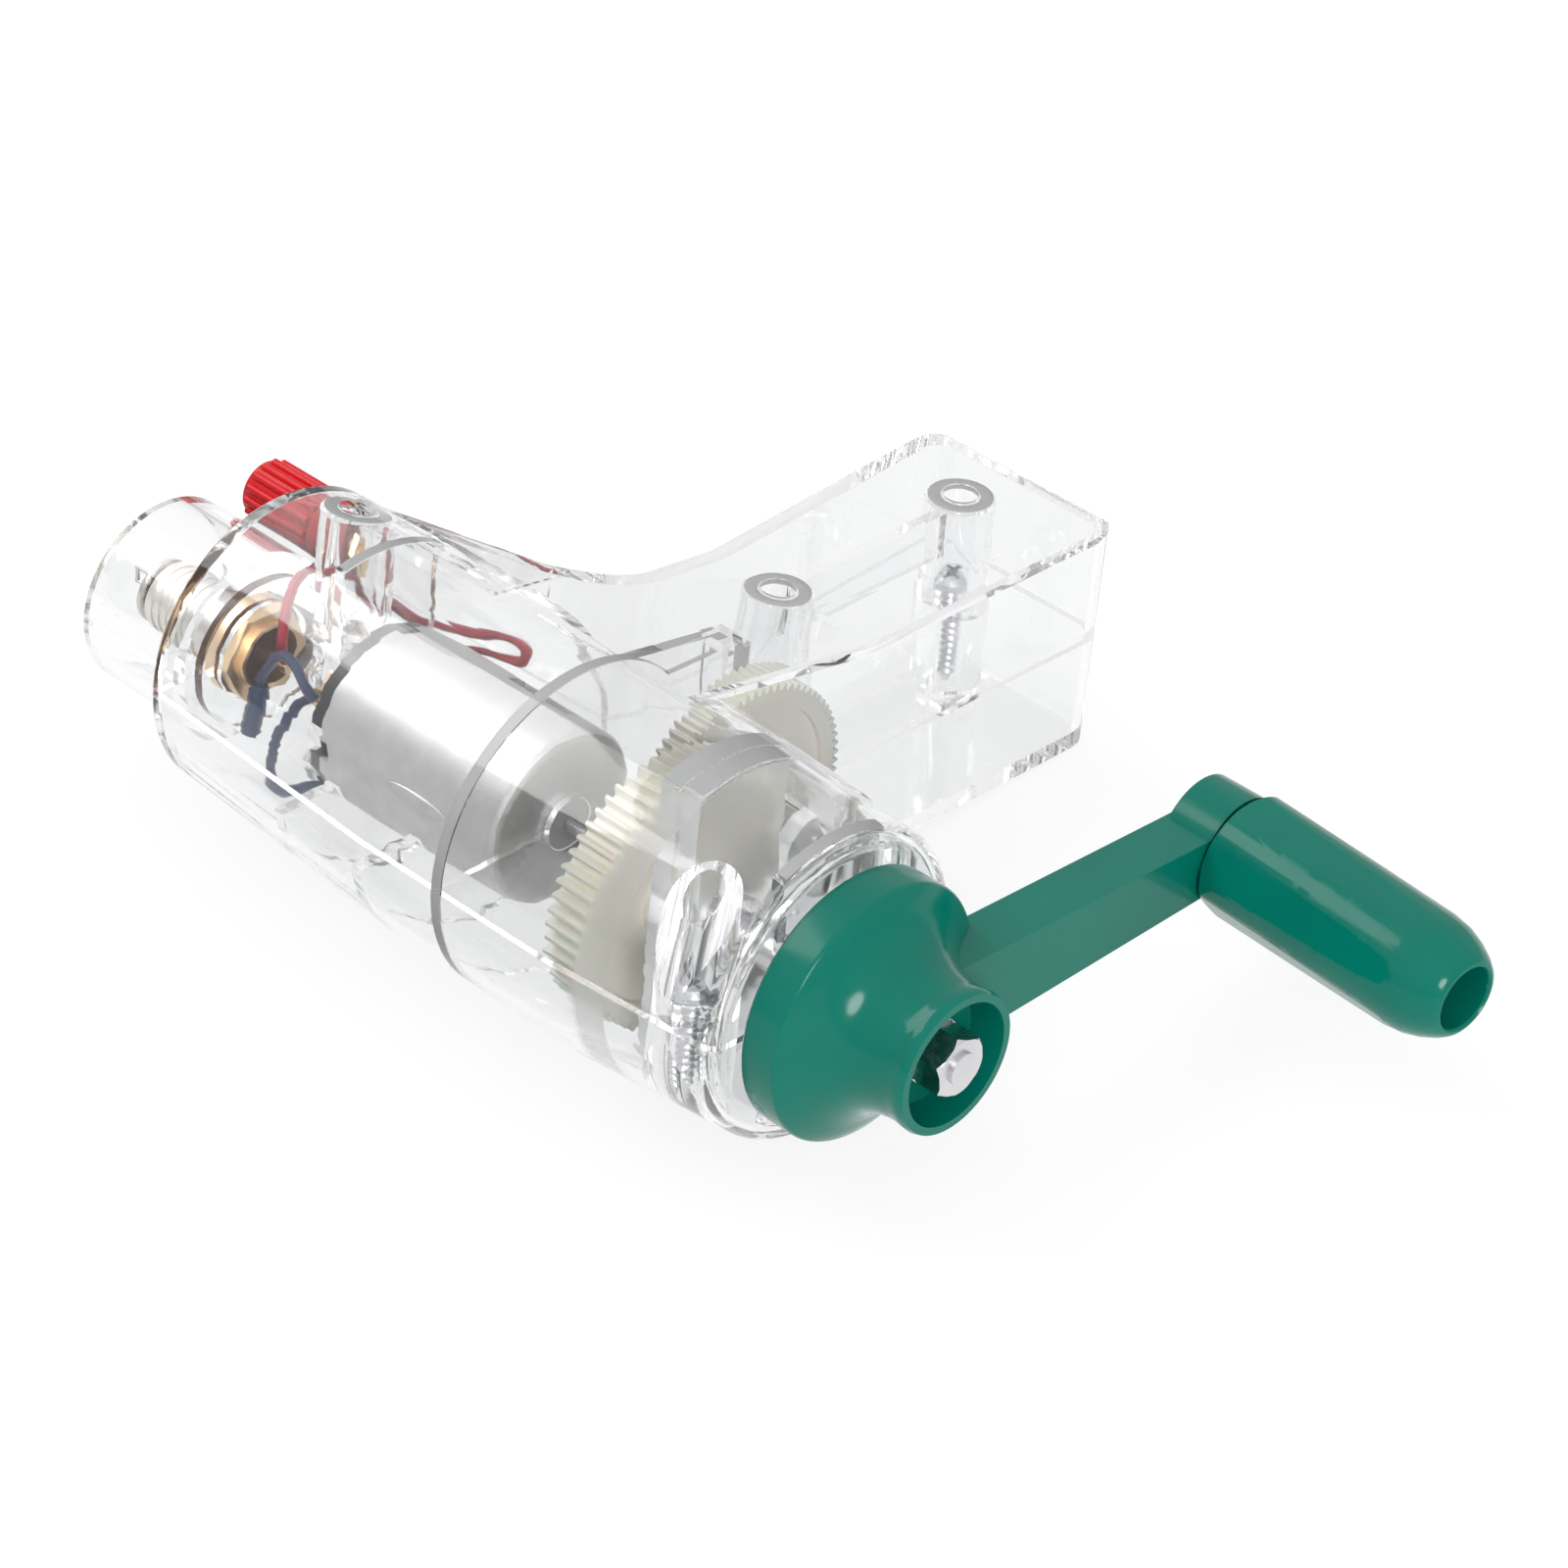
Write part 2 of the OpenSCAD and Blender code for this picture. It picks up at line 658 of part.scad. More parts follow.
// Tapered handle with six flats that fade out toward its rounded end.
module handle_grip() {
    r = handle_d / 2;
    x0 = handle_back;
    x1 = handle_back + handle_len;
    color(GREEN) leaned() translate([0, crank_radius, 0]) difference() {
        intersection() {
            turned([[x0, 0], [x0, r - 0.6], [x0 + 0.6, r], [x1 - 9, r - 0.5], [x1 - 6, r - 0.9],
                [x1 - 3.6, r - 1.7], [x1 - 1.6, r - 2.7], [x1 - 0.4, r - 3.6],
                [x1, tip_r], [x1, 0]]);
            hexagon(x0 - cut, x1 + cut, 2 * r - 1.3, 40);
        }
        rod(x0 - cut, x1 + cut, pin_r + run);
        rod(pin_head_x, x1 + cut, handle_bore / 2);
        turned([[x1 - 0.6, 0], [x1 - 0.6, handle_bore / 2 - 0.01], [x1 + 0.4, handle_bore / 2 + 0.6],
            [x1 + 0.4, 0]]);
    }
}

// ---- Idler ----

module idler_axle() {
    color(STEEL) rod(web_x - 1.2, pocket_end - 1.2, idler_axle_r, idler_y);
}

module idler_gear() {
    rs = idler_small_teeth * first_module / 2;
    rl = idler_large_teeth * second_module / 2;
    color(NYLON) translate([0, idler_y, 0]) difference() {
        union() {
            toothed(idler_gear_x, idler_gear_w, idler_large_teeth, second_module, 0,
                rl + second_module, rl - 1.25 * second_module);
            toothed(idler_gear_x + 1, idler_end - idler_gear_x - 1, idler_small_teeth, first_module,
                0.5, rs + 1.2 * first_module, rs - 0.75 * first_module);
            rod(idler_hub_x, idler_gear_x + 1, idler_hub_r);
            rod(idler_gear_x - 0.6, idler_gear_x + idler_gear_w + 0.5, 4.2);
        }
        rod(idler_hub_x - cut, idler_end + cut, idler_axle_r + run);
        gear_recess(idler_gear_x - cut, 1 + cut, 6, rl - 3);
        gear_recess(idler_gear_x + idler_gear_w - 1, 1 + cut, 6, rl - 3);
    }
}

// ---- Motor ----

module motor_can() {
    color(STEEL) difference() {
        union() {
            turned([[motor_back, 0], [motor_back, motor_r], [motor_front - 1.5, motor_r],
                [motor_front - 0.5, motor_r - 0.5], [motor_front, motor_r - 1.6], [motor_front, 0]], 96);
            rod(motor_front - 1, web_x + web_t, nose_boss_r);
        }
        rod(motor_back - cut, motor_front - 1, motor_r - 1);
        rod(motor_front - 2, web_x + web_t + cut, motor_shaft_r + run);
        // two cooling slots
        for (a = [150, -30]) rotate([a, 0, 0]) translate([-13, -2.2, motor_r - 2]) cube([11, 4.4, 4]);
    }
}

module motor_magnets() {
    color([0.2, 0.2, 0.21]) intersection() {
        difference() {
            rod(motor_back + 5, motor_front - 5, motor_r - 1);
            rod(motor_back + 4, motor_front - 4, motor_r - 3.2);
        }
        union() for (s = [-1, 1]) translate([motor_back, -9.5, s > 0 ? 3 : -23]) cube([motor_len, 19, 20]);
    }
}

module motor_endbell() {
    x0 = motor_back - endbell_t;
    color(BLACK) rotate([tab_turn, 0, 0]) difference() {
        union() {
            rod(x0, motor_back + 2, motor_r - 1.05);
            rod(x0, motor_back, motor_r - 0.4);
            rod(x0 - 2.2, x0 + 1, 4.6);
        }
        rod(x0 - 3, motor_back + 3, motor_shaft_r + run);
        // notches in the rim
        for (a = [48, 200]) rotate([a, 0, 0]) translate([x0 - cut, motor_r - 2.6, -2.4])
            cube([endbell_t + 2 * cut, 5, 4.8]);
        for (s = [-1, 1]) translate([x0 - cut, s * tab_y - 0.3, -1.3]) cube([endbell_t + 4, 0.6, 2.6]);
    }
}

module motor_terminals() {
    x0 = motor_back - endbell_t;
    color(BRASS) rotate([tab_turn, 0, 0]) for (s = [-1, 1]) difference() {
        translate([x0 - 4.4, s * tab_y - 0.25, -1.2]) cube([endbell_t + 5.4, 0.5, 2.4]);
        translate([x0 - 3, s * tab_y + 2, 0]) rotate([90, 0, 0]) cylinder(h = 4, r = 0.6, $fn = 24);
    }
}

// Armature, commutator and shaft.
module motor_rotor() {
    color([0.55, 0.42, 0.3]) union() {
        rod(motor_back - endbell_t - 2.6, pinion_front + 0.4, motor_shaft_r);
        rod(motor_back + 8, motor_front - 8, motor_r - 3.9);
        rod(motor_back + 2.6, motor_back + 8.5, 3.2);
    }
}

module motor_pinion() {
    r = motor_teeth * second_module / 2;
    color(NYLON) difference() {
        toothed(pinion_back, pinion_front - pinion_back, motor_teeth, second_module, 0,
            r + second_module, r - 1.25 * second_module, 180 / motor_teeth);
        rod(pinion_back - cut, pinion_front + cut, motor_shaft_r);
    }
}

// ---- Lamp ----

function arc_point(a) = [cos(a), a < 180 ? sin(a) : 0];

module bulb_glass() {
    steps = 16;
    reach_x = collar_x - 0.05 - globe_x;
    inner_r = globe_r - 0.5;
    rim = acos(reach_x / globe_r);
    inner_rim = acos(reach_x / inner_r);
    color([0.95, 0.96, 0.97, 0.3]) translate([globe_x, lamp_y, 0]) turned(concat(
        [for (i = [0:steps]) globe_r * arc_point(rim + (180 - rim) * i / steps)],
        [for (i = [steps:-1:0]) inner_r * arc_point(inner_rim + (180 - inner_rim) * i / steps)]), 48);
}

// Bead on its stem, two supports and the filament between them.
module bulb_filament() {
    color(STEEL) translate([0, lamp_y, 0]) union() {
        rod(collar_x - 2.4, collar_x + 0.6, 1.6);
        rod(collar_x, base_end - 1.3, 1);
        for (s = [-1, 1]) rod(globe_x - 1, collar_x - 2, 0.3, 0, s * 1.2);
        translate([globe_x - 0.7, 0, -1.4]) cylinder(h = 2.8, r = 0.35, $fn = 16);
    }
}

module bulb_base() {
    pitch = 1.6;
    turns = 4;
    x0 = collar_x;
    start = x0 + 2;
    color(BRASS) translate([0, lamp_y, 0]) difference() {
        turned(concat([[x0, 0], [x0, collar_r], [x0 + 0.8, collar_r], [x0 + 1.2, base_r - 0.4]],
            [for (i = [0:turns - 1]) each [[start + i * pitch, base_r - 0.45],
                [start + (i + 0.5) * pitch, base_r]]],
            [[start + turns * pitch, base_r - 0.45], [base_end - 0.2, base_r - 1],
             [base_end - 0.2, 0]]), 48);
        rod(x0 - cut, base_end - 1, base_r - 1.1);
        rod(x0, base_end + cut, 2.6);
    }
}

module bulb_contact() {
    color(BLACK) translate([0, lamp_y, 0]) union() {
        rod(base_end - 1, base_end, 2.6);
        turned([[base_end - 0.5, 0], [base_end - 0.5, 1.6], [base_end + 0.4, 1.6], [base_end + 0.9, 0.9],
            [base_end + 0.9, 0]], 24);
    }
}

// Threaded sleeve with a flange on the outside of the rear wall.
module lamp_socket() {
    color(BRASS) translate([0, lamp_y, 0]) difference() {
        union() {
            rod(collar_x + 2, socket_end, sleeve_out);
            rod(rear_x - flange_t, rear_x, 8);
            for (i = [0:5]) rod(collar_x + 3 + i * 1.6, collar_x + 3.8 + i * 1.6, sleeve_out + 0.25);
        }
        rod(collar_x + 2 - cut, socket_end + cut, sleeve_in);
    }
}

module lamp_socket_nut() {
    color(BRASS) translate([0, lamp_y, 0]) difference() {
        hexagon(rear_in, rear_in + 2.2, 13.6, 30);
        rod(rear_in - cut, rear_in + 3.2, sleeve_out);
    }
}

module lamp_insulator() {
    color([0.35, 0.22, 0.14]) translate([0, lamp_y, 0]) difference() {
        rod(base_end + 3.4, base_end + 5, sleeve_in);
        rod(base_end + 2, base_end + 6, 1);
    }
}

// Centre contact: a springy stem from the insulator to the tip of the lamp.
module lamp_spring() {
    color(BRASS) translate([0, lamp_y, 0]) union() {
        rod(base_end + 1, base_end + 3.4, 1.7);
        rod(base_end + 3, stem_end, 1);
    }
}

// ---- Terminals ----

module post_base() {
    difference() {
        rod(rear_x - base_t, rear_x, knob_d / 2 + 0.1);
        rod(rear_x - base_t - cut, rear_x + cut, stud_r);
    }
}

module post_stud() {
    color(BRASS) difference() {
        union() {
            rod(knob_tip + 0.8, rear_x, stud_r);
            rod(rear_x - cut, rear_in + lug_t + post_nut_t + 0.6, tail_pin_r);
        }
        rod(knob_tip, knob_back - 0.4, socket_d / 2);
    }
}

// Ribbed knob that turns on the stud.
module post_knob() {
    ribs = 14;
    r = knob_d / 2;
    difference() {
        union() {
            rod(knob_tip, knob_back, r - 0.7);
            for (i = [0:ribs - 1]) rotate([360 / ribs * i, 0, 0])
                rod(knob_tip + 0.8, knob_back - 0.4, 0.7, r - 0.7);
        }
        rod(knob_tip - cut, knob_back + cut, stud_r + run);
    }
}

module post_nut() {
    x0 = rear_in + lug_t;
    color(BRASS) difference() {
        hexagon(x0, x0 + post_nut_t, post_nut_af, 12);
        rod(x0 - cut, x0 + post_nut_t + cut, tail_pin_r);
    }
}

// Solder lug under the nut. Its tail points toward the parting plane.
module post_lug(side) {
    color(BRASS) difference() {
        union() {
            rod(rear_in, rear_in + lug_t, 2.9);
            translate([rear_in, -1, side > 0 ? -lug_len : 0]) cube([lug_t, 2, lug_len]);
        }
        rod(rear_in - cut, rear_in + lug_t + cut, tail_pin_r);
    }
}

module post_red_base() {
    color(RED) at_post(1) post_base();
}

module post_red_stud() {
    at_post(1) post_stud();
}

module post_red_knob() {
    color(RED) at_post(1) post_knob();
}

module post_red_nut() {
    at_post(1) post_nut();
}

module post_red_lug() {
    at_post(1) post_lug(1);
}

module post_black_base() {
    color(BLACK) at_post(-1) post_base();
}

module post_black_stud() {
    at_post(-1) post_stud();
}

module post_black_knob() {
    color(BLACK) at_post(-1) post_knob();
}

module post_black_nut() {
    at_post(-1) post_nut();
}

module post_black_lug() {
    at_post(-1) post_lug(-1);
}

// ---- Wires ----

lug_x = rear_in + lug_t;
lug_z = post_z - 6.2;
lamp_x = rear_in + 0.95;

RED_LAMP = [[lamp_x, post_y - 1, 6.8], [lamp_x, 12, 8.8], [lamp_x, 7, 10.5], [-54.2, 2, 11.2],
    [-52.8, -1.2, 9.8], [-51.2, -3.6, 6.6], [-50.4, -4.4, 3.4], [-50.4, -3.6, 1]];
RED_MOTOR = [[lug_x, post_y, lug_z], [-51, 17, 3.8], [-46, 17.4, 3.2], [-41, 17.6, 4.6],
    [-31.5, 17.6, 7.4], [-25, 17.6, 9.6], [-21.6, 17.5, 9.3], [-21.6, 17.3, 7.3], [-25, 17, 6.4],
    [-30, 17, 4.8], [-35, 16, 2], [-38, 13, -1.6], [-37.6, 10.8, -3.6]];
BLUE_LAMP = [[-36.8, -10, 3.7], [-39.2, -10.1, 5], [-43, -8.4, 5.8], [-47, -7.2, 5],
    [-50, -6.6, 2.4], [-51.6, -6.7, -0.6], [-52, -6.9, -2.6]];
BLUE_POST = [[-38.4, -8.9, 3.2], [-40.4, -10, 0.8], [-43, -10.2, -3.6], [-44, -10.8, -7.5],
    [-44.6, -11, -12], [-44.6, -9.5, -15.8], [-44, -5, -17.6], [-43, 1, -17.4], [-42.6, 7, -16],
    [-43.4, 13, -12.5], [-47.5, 17, -8.6], [-52.5, 17, -6], [lug_x, post_y, -lug_z]];
SLEEVE = [[-52, -6.9, -2.6], [-52, -7.7, -6.2], [-52, -8.5, -10.4]];

function spline(a, b, c, d, t) = 0.5 * (2 * b + (c - a) * t + (2 * a - 5 * b + 4 * c - d) * t * t
    + (3 * b - a - 3 * c + d) * t * t * t);

function smooth(p, n) = let (last = len(p) - 1) concat(
    [for (i = [0:last - 1]) for (k = [0:n - 1])
        spline(p[max(i - 1, 0)], p[i], p[i + 1], p[min(i + 2, last)], k / n)],
    [p[last]]);

function unit(v) = v / norm(v);

function ahead(p) = let (last = len(p) - 1)
    [for (i = [0:last]) unit(p[min(i + 1, last)] - p[max(i - 1, 0)])];

function level(v, t) = unit(v - (v * t) * t);

// Tube of eight sides along a smooth path.
module cord(points, d) {
    path = smooth(points, 4);
    dirs = ahead(path);
    count = len(path);
    sides = 8;
    ups = [for (i = 0, u = level([0.3, 0.2, 1], dirs[0]); i < count;
        i = i + 1, u = level(u, dirs[min(i, count - 1)])) u];
    rings = [for (i = [0:count - 1]) for (k = [0:sides - 1]) let (a = 360 / sides * k)
        path[i] + d / 2 * (ups[i] * cos(a) + cross(dirs[i], ups[i]) * sin(a))];
    polyhedron(rings, concat(
        [[for (k = [0:sides - 1]) k]],
        [for (i = [0:count - 2]) for (k = [0:sides - 1]) let (n = (k + 1) % sides)
            [i * sides + n, i * sides + k, (i + 1) * sides + k, (i + 1) * sides + n]],
        [[for (k = [sides - 1:-1:0]) (count - 1) * sides + k]]), 4);
}

module wire_red_lamp() {
    color(RED) cord(RED_LAMP, wire_d);
}

module wire_red_motor() {
    color(RED) cord(RED_MOTOR, wire_d);
}

module wire_blue_lamp() {
    color(BLUE) cord(BLUE_LAMP, wire_d);
}

module wire_blue_post() {
    color(BLUE) cord(BLUE_POST, wire_d);
}

// Shrink sleeve over the end of the lamp lead.
module wire_sleeve() {
    color(BLUE) cord(SLEEVE, 3);
}

at_rest() housing_upper();
at_rest() housing_lower();
at_rest() housing_screws();
at_rest() crank_shaft();
at_rest() shaft_collar();
at_rest() crank_gear();
at_rest() crank();
at_rest() crank_washer();
at_rest() crank_nut();
at_rest() handle_pin();
at_rest() handle_retainer();
at_rest() handle_grip();
at_rest() idler_axle();
at_rest() idler_gear();
at_rest() motor_can();
at_rest() motor_magnets();
at_rest() motor_endbell();
at_rest() motor_terminals();
at_rest() motor_rotor();
at_rest() motor_pinion();
at_rest() bulb_glass();
at_rest() bulb_filament();
at_rest() bulb_base();
at_rest() bulb_contact();
at_rest() lamp_socket();
at_rest() lamp_socket_nut();
at_rest() lamp_insulator();
at_rest() lamp_spring();
at_rest() post_red_base();
at_rest() post_red_stud();
at_rest() post_red_knob();
at_rest() post_red_nut();
at_rest() post_red_lug();
at_rest() post_black_base();
at_rest() post_black_stud();
at_rest() post_black_knob();
at_rest() post_black_nut();
at_rest() post_black_lug();
at_rest() wire_red_lamp();
at_rest() wire_red_motor();
at_rest() wire_blue_lamp();
at_rest() wire_blue_post();
at_rest() wire_sleeve();
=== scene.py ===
import math
import bpy
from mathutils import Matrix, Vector


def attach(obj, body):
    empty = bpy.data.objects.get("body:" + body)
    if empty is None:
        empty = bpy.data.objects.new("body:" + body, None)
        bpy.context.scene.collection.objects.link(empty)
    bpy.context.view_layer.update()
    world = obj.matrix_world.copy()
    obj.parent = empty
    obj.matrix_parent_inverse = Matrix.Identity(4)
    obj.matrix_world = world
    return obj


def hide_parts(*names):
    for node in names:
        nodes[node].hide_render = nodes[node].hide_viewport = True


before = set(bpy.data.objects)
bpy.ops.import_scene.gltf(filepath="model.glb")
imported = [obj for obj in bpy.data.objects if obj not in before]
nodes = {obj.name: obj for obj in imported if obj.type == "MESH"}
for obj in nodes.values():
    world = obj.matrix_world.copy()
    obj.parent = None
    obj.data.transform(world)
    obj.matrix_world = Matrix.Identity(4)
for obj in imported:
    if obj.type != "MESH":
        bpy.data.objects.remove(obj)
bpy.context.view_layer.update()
print("frame loaded,", len(nodes), "nodes")

# where the generator lies on the table, in metres
place = {
    "zeroX": -0.0132349,      # inner grip screw
    "axisY": -0.0380191,      # crank axis
    "axisZ": 0.0266,
    "tilt": math.radians(4.38799),
}


def toRow(x, y, z):
    # millimetres from the crank axis to metres on the table
    c, s = math.cos(place["tilt"]), math.sin(place["tilt"])
    return Vector((x / 1000 + place["zeroX"],
                   (c * y + s * z) / 1000 + place["axisY"],
                   (c * z - s * y) / 1000 + place["axisZ"]))


# small helpers for pieces

shading = {"sharpFrom": 32, "weight": 60}      # degrees, share of the large faces


def pickOnly(piece):
    if bpy.context.object and bpy.context.object.mode != "OBJECT":
        bpy.ops.object.mode_set(mode="OBJECT")
    bpy.ops.object.select_all(action="DESELECT")
    piece.select_set(True)
    bpy.context.view_layer.objects.active = piece


def applyModifier(piece, kind, **settings):
    pickOnly(piece)
    mod = piece.modifiers.new(kind.lower(), kind)
    for key, value in settings.items():
        setattr(mod, key, value)
    bpy.ops.object.modifier_apply(modifier=mod.name)


def smoothShade(piece):
    pickOnly(piece)
    bpy.ops.object.shade_smooth_by_angle(angle=math.radians(shading["sharpFrom"]))
    applyModifier(piece, "WEIGHTED_NORMAL", keep_sharp=True, weight=shading["weight"])


def settle(piece):
    # place, turn and scale go into the mesh
    pickOnly(piece)
    bpy.ops.object.transform_apply(location=True, rotation=True, scale=True)


def wear(piece, material, body, standsFor=()):
    piece.data.materials.clear()
    piece.data.materials.append(material)
    for face in piece.data.polygons:
        face.material_index = 0
    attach(piece, body)
    if standsFor:
        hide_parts(*standsFor)


# small helpers for materials

def newMaterial(name, colour, rough, **sockets):
    mat = bpy.data.materials.new(name)
    mat.use_nodes = True
    shader = mat.node_tree.nodes["Principled BSDF"]
    shader.inputs["Base Color"].default_value = (*colour, 1)
    shader.inputs["Roughness"].default_value = rough
    for key, value in sockets.items():
        shader.inputs[key.replace("_", " ")].default_value = value
    return mat, mat.node_tree, shader


def setOrLink(tree, socket, value):
    if isinstance(value, bpy.types.NodeSocket):
        tree.links.new(value, socket)
    else:
        socket.default_value = value


def objectNoise(tree, scale, detail=3.0):
    coords = tree.nodes.new("ShaderNodeTexCoord")
    noise = tree.nodes.new("ShaderNodeTexNoise")
    noise.inputs["Scale"].default_value = scale
    noise.inputs["Detail"].default_value = detail
    noise.inputs["Roughness"].default_value = 0.55
    tree.links.new(coords.outputs["Object"], noise.inputs["Vector"])
    return noise.outputs["Fac"]


def remap(tree, value, low, high, fromLow=0.3, fromHigh=0.7):
    node = tree.nodes.new("ShaderNodeMapRange")
    node.inputs["From Min"].default_value = fromLow
    node.inputs["From Max"].default_value = fromHigh
    node.inputs["To Min"].default_value = low
    node.inputs["To Max"].default_value = high
    tree.links.new(value, node.inputs["Value"])
    return node.outputs["Result"]


def maths(tree, operation, *values, kind="ShaderNodeMath"):
    node = tree.nodes.new(kind)
    node.operation = operation
    for socket, value in zip(node.inputs, values):
        setOrLink(tree, socket, value)
    return node.outputs


def alongX(tree, vector, low, high, fromX, toX):
    # a value that goes from low to high between two places on the X axis
    split = tree.nodes.new("ShaderNodeSeparateXYZ")
    tree.links.new(vector, split.inputs["Vector"])
    return remap(tree, split.outputs["X"], low, high, fromX, toX)


def mixColours(tree, fac, colourA, colourB):
    node = tree.nodes.new("ShaderNodeMix")
    node.data_type = "RGBA"
    setOrLink(tree, node.inputs["A"], colourA)
    setOrLink(tree, node.inputs["B"], colourB)
    tree.links.new(fac, node.inputs["Factor"])
    return node.outputs["Result"]


def mixShaders(tree, fac, first, second):
    mix = tree.nodes.new("ShaderNodeMixShader")
    tree.links.new(fac, mix.inputs["Fac"])
    tree.links.new(first, mix.inputs[1])
    tree.links.new(second, mix.inputs[2])
    tree.links.new(mix.outputs["Shader"], tree.nodes["Material Output"].inputs["Surface"])


def addBump(tree, shader, height, strength, distance):
    bump = tree.nodes.new("ShaderNodeBump")
    bump.inputs["Strength"].default_value = strength
    bump.inputs["Distance"].default_value = distance
    tree.links.new(height, bump.inputs["Height"])
    tree.links.new(bump.outputs["Normal"], shader.inputs["Normal"])


# noise sizes are waves per metre, depths are metres
plasticGrain = {"flow": 45, "gloss": 160, "grain": 900, "strength": 0.25, "depth": 0.00002}
metalGrain = {"strength": 0.35, "toneShare": 9}      # the tone is so many times coarser than the grain
clearGrain = {"dull": 130, "dullest": 1.8, "clearest": 0.5, "ripple": 55, "strength": 0.12}


def moulded(name, colour, second, rough, spread, **sockets):
    # coloured plastic: slow colour flow, uneven gloss and a fine moulded grain
    mat, tree, shader = newMaterial(name, colour, rough, **sockets)
    flow = remap(tree, objectNoise(tree, plasticGrain["flow"], 2.0), 0, 1)
    tree.links.new(mixColours(tree, flow, (*colour, 1), (*second, 1)), shader.inputs["Base Color"])
    gloss = objectNoise(tree, plasticGrain["gloss"], 4.0)
    tree.links.new(remap(tree, gloss, rough - spread, rough + spread), shader.inputs["Roughness"])
    addBump(tree, shader, objectNoise(tree, plasticGrain["grain"], 2.0),
            plasticGrain["strength"], plasticGrain["depth"])
    return mat


def metal(name, colour, second, rough, spread=0.08, grain=700, depth=0.00001, whiter=None):
    # whiter: another plating where the object's X is under its place
    mat, tree, shader = newMaterial(name, colour, rough, Metallic=1.0)
    tone = remap(tree, objectNoise(tree, grain / metalGrain["toneShare"], 4.0), 0, 1)
    tone = mixColours(tree, tone, (*colour, 1), (*second, 1))
    if whiter:
        coords = tree.nodes.new("ShaderNodeTexCoord")
        fac = alongX(tree, coords.outputs["Object"], 1, 0, whiter["from"], whiter["to"])
        tone = mixColours(tree, fac, tone, (*whiter["colour"], 1))
    tree.links.new(tone, shader.inputs["Base Color"])
    fine = objectNoise(tree, grain)
    tree.links.new(remap(tree, fine, rough - spread, rough + spread), shader.inputs["Roughness"])
    addBump(tree, shader, fine, metalGrain["strength"], depth)
    return mat


def crankZone(tree, zone):
    # one inside a drum about the crank axis, zero outside
    coords = tree.nodes.new("ShaderNodeTexCoord")
    zero = (place["zeroX"], place["axisY"], place["axisZ"])
    shift = maths(tree, "SUBTRACT", coords.outputs["Object"], zero, kind="ShaderNodeVectorMath")["Vector"]
    flat = maths(tree, "MULTIPLY", shift, (0, 1, 1), kind="ShaderNodeVectorMath")["Vector"]
    reach = maths(tree, "LENGTH", flat, kind="ShaderNodeVectorMath")["Value"]
    soft = zone["soft"]
    inside = remap(tree, reach, 1, 0, zone["radius"] - soft, zone["radius"])
    after = alongX(tree, shift, 0, 1, zone["from"] - soft, zone["from"])
    before = alongX(tree, shift, 1, 0, zone["to"], zone["to"] + soft)
    for value in (after, before):
        inside = maths(tree, "MULTIPLY", inside, value)["Value"]
    return inside


def clearMoulding(name, tint, rough, ripple, hazeAt=None):
    # clear plastic: a faint ripple of the mould and patches of slightly duller gloss
    mat, tree, shader = newMaterial(name, tint, rough, Transmission_Weight=1.0, IOR=1.45)
    gloss = remap(tree, objectNoise(tree, clearGrain["dull"], 4.0),
                  rough * clearGrain["clearest"], rough * clearGrain["dullest"])
    if hazeAt:
        gloss = maths(tree, "MULTIPLY_ADD", crankZone(tree, hazeAt), hazeAt["rough"], gloss)["Value"]
    tree.links.new(gloss, shader.inputs["Roughness"])
    addBump(tree, shader, objectNoise(tree, clearGrain["ripple"], 2.0), clearGrain["strength"], ripple)
    # lamps shine through it onto the works inside
    path = tree.nodes.new("ShaderNodeLightPath")
    through = tree.nodes.new("ShaderNodeBsdfTransparent")
    through.inputs["Color"].default_value = (*[0.75 + 0.25 * c for c in tint], 1)
    mixShaders(tree, path.outputs["Is Shadow Ray"], shader.outputs["BSDF"], through.outputs["BSDF"])
    return mat


# the faces of the bearing block are duller than the polished skin; metres from the crank's zero
bearingHaze = {"from": 0.0296, "to": 0.0374, "radius": 0.0244, "soft": 0.0002, "rough": 0.3}
# the lamp socket is nickel outside the rear wall and bare brass inside the housing
socketPlating = {"from": -0.0767, "to": -0.0755, "colour": (0.74, 0.72, 0.68)}

clearShell = clearMoulding("clearShell", (0.955, 0.959, 0.962), 0.03, 0.0003, bearingHaze)
lampGlass = clearMoulding("lampGlass", (0.985, 0.99, 0.99), 0.006, 0.0001)
# a grey, mostly opaque plastic for strips along the clear ribs' edges and screw rims: painted shade, not
# a matt surface
edgeShadeGrey = moulded("edgeShadeGrey", (0.95, 0.955, 0.96), (0.86, 0.865, 0.87), 0.45, 0.1,
                   Transmission_Weight=0.25, IOR=1.2)
tealPlastic = moulded("tealPlastic", (0.0004, 0.132, 0.094), (0.0003, 0.116, 0.085), 0.15, 0.04,
                      Specular_IOR_Level=0.2)
creamNylon = moulded("creamNylon", (0.985, 0.945, 0.84), (0.96, 0.91, 0.79), 0.42, 0.08,
                     Subsurface_Weight=0.35, Subsurface_Scale=0.004)
redPlastic = moulded("redPlastic", (0.56, 0.006, 0.010), (0.46, 0.004, 0.008), 0.33, 0.08,
                     Specular_IOR_Level=0.22)
blackPlastic = moulded("blackPlastic", (0.018, 0.018, 0.02), (0.03, 0.03, 0.032), 0.42, 0.08)
brownFibre = moulded("brownFibre", (0.14, 0.065, 0.03), (0.09, 0.04, 0.018), 0.7, 0.1)
crimsonSleeve = moulded("crimsonSleeve", (0.56, 0.012, 0.040), (0.48, 0.010, 0.032), 0.38, 0.06)
slateSleeve = moulded("slateSleeve", (0.045, 0.075, 0.180), (0.036, 0.055, 0.130), 0.38, 0.06)
platedSteel = metal("platedSteel", (0.72, 0.72, 0.73), (0.60, 0.60, 0.62), 0.24)
